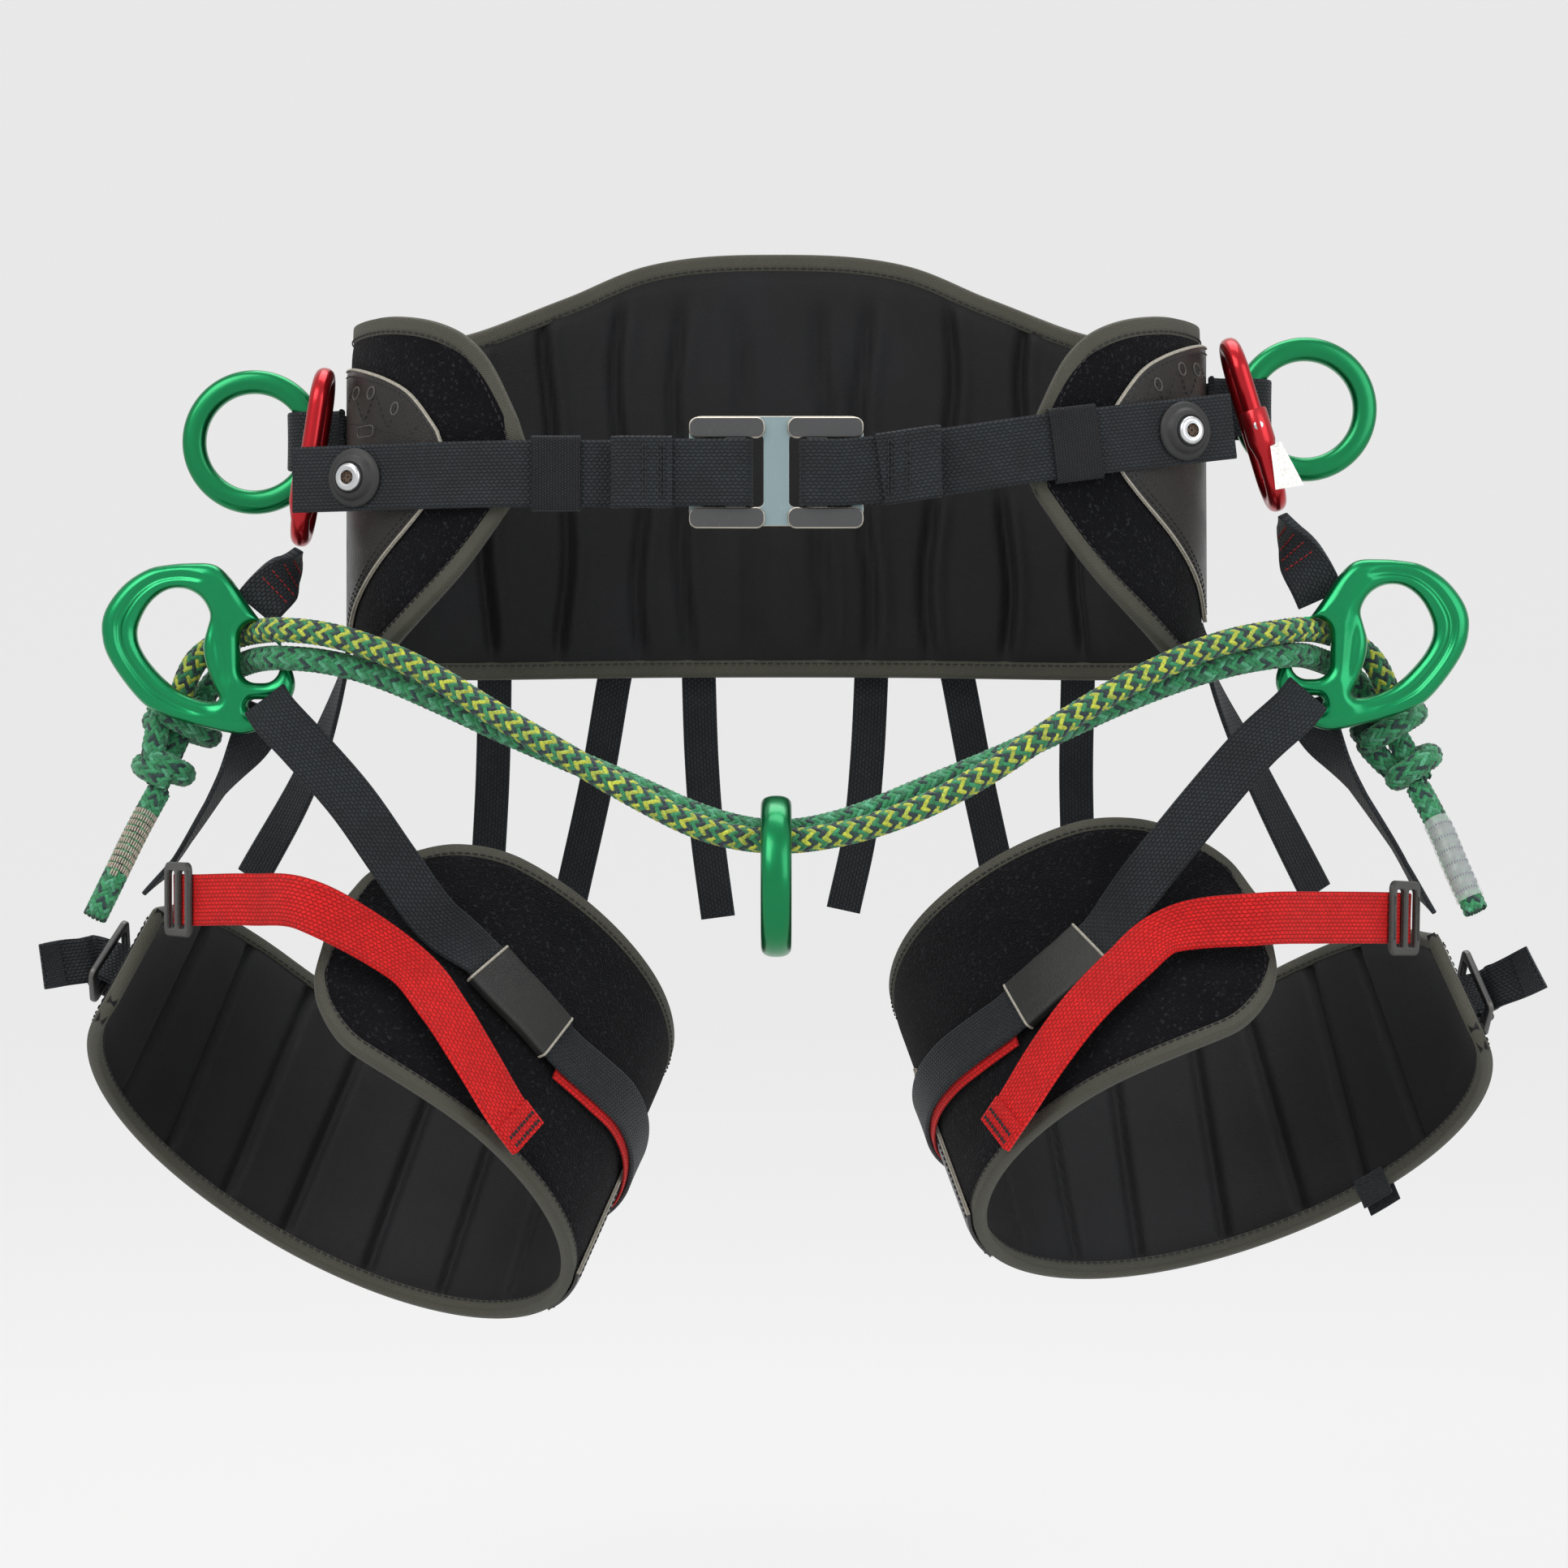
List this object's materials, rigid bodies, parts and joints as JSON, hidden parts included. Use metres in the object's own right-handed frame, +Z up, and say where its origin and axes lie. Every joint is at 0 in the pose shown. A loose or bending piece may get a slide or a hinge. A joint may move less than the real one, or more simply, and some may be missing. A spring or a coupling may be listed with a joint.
{
  "type": "tree climbing saddle",
  "caption": "Tree climbing saddle with a padded waist belt and leg loops, rope bridges between two forged green rings, side rings and a front buckle.",
  "frame": {"origin": "middle of the waist opening, level with the front buckle", "axes": "+X to the right as seen from the front, along the width; +Y to the wearer's back; +Z up"},
  "size_m": [0.7804, 0.3318, 0.5664],
  "materials": {
    "pad_fabric": "soft matt",
    "webbing": "woven",
    "red_webbing": "woven",
    "leather": "soft sheen",
    "plate_steel": "satin",
    "dark_steel": "satin",
    "screw_steel": "satin",
    "rubber": "matt",
    "green_metal": "anodised gloss",
    "forged_green": "satin gloss",
    "red_metal": "anodised gloss",
    "yellow_rope": "braided",
    "green_rope": "braided",
    "clear_sleeve": "clear",
    "dark_plastic": "satin"
  },
  "bodies": {
    "saddle": {"back_pad": "pad_fabric", "hip_band": "webbing", "buckle_plate": "plate_steel", "belt_screws": "screw_steel", "belt_washers": "rubber", "gate_screws": "screw_steel", "loose_risers": "webbing", "rope_yellow": "yellow_rope", "rope_green": "green_rope", "rope_sleeve_right": "clear_sleeve", "leather_panel_left": "leather", "leather_panel_right": "leather", "belt_anchor_left": "webbing", "belt_anchor_right": "webbing", "belt_strap_left": "webbing", "buckle_frame_left": "dark_steel", "side_loop_left": "webbing", "side_loop_right": "webbing", "gated_ring_left": "red_metal", "gated_ring_right": "red_metal", "bridge_ring_left": "forged_green", "bridge_ring_right": "forged_green", "hip_strap_left": "webbing", "hip_strap_right": "webbing", "rope_knot_left": "green_rope", "rope_knot_right": "green_rope", "rope_tail_left": "green_rope", "rope_tail_right": "green_rope", "rear_riser_left": "webbing", "rear_riser_right": "webbing", "rear_cross_riser_left": "webbing", "rear_cross_riser_right": "webbing", "outer_riser_left": "webbing", "outer_riser_right": "webbing"},
    "side_ring_left": {"side_ring_left": "green_metal"},
    "side_ring_right": {"side_ring_right": "green_metal"},
    "belt_right": {"belt_strap_right": "webbing", "belt_keeper_right": "webbing", "buckle_frame_right": "dark_steel"},
    "belt_keeper_left": {"belt_keeper_left": "webbing"},
    "bridge_ring": {"bridge_centre_ring": "green_metal"},
    "leg_left": {"leg_pad_left": "pad_fabric", "leg_leather_left": "leather", "leg_strap_left": "webbing", "leg_keeper_left": "leather", "red_strap_left": "red_webbing", "ladder_lock_left": "dark_plastic", "leg_buckle_left": "dark_steel", "leg_tail_left": "webbing", "side_riser_left": "webbing"},
    "leg_right": {"leg_pad_right": "pad_fabric", "leg_leather_right": "leather", "leg_strap_right": "webbing", "leg_keeper_right": "leather", "red_strap_right": "red_webbing", "ladder_lock_right": "dark_plastic", "leg_buckle_right": "dark_steel", "leg_tail_right": "webbing", "side_riser_right": "webbing"}
  },
  "joints": [
    {"name": "side_ring_left_swing", "type": "hinge", "parent": "saddle", "child": "side_ring_left", "pos_m": [-0.2398, 0.008, 0.014], "axis": [0, 0, 1], "range_deg": [-60, 60]},
    {"name": "side_ring_right_swing", "type": "hinge", "parent": "saddle", "child": "side_ring_right", "pos_m": [0.2428, 0.008, 0.031], "axis": [0, 0, 1], "range_deg": [-45, 60]},
    {"name": "belt_right_open", "type": "hinge", "parent": "saddle", "child": "belt_right", "pos_m": [0.187, -0.09215, 0.01038], "axis": [0, 0, 1], "range_deg": [0, 75]},
    {"name": "belt_keeper_slide", "type": "slide", "parent": "saddle", "child": "belt_keeper_left", "axis": [1, 0, 0], "range_m": [0, 0.015]},
    {"name": "bridge_ring_travel", "type": "hinge", "parent": "saddle", "child": "bridge_ring", "pos_m": [0, -0.133, -0.103], "axis": [0, 1, 0], "range_deg": [-12, 4]},
    {"name": "leg_left_swing", "type": "hinge", "parent": "saddle", "child": "leg_left", "pos_m": [-0.257, -0.06, -0.114], "axis": [-1, 0, 0], "range_deg": [0, 12]},
    {"name": "leg_right_swing", "type": "hinge", "parent": "saddle", "child": "leg_right", "pos_m": [0.267, -0.06, -0.112], "axis": [-1, 0, 0], "range_deg": [0, 12]}
  ]
}
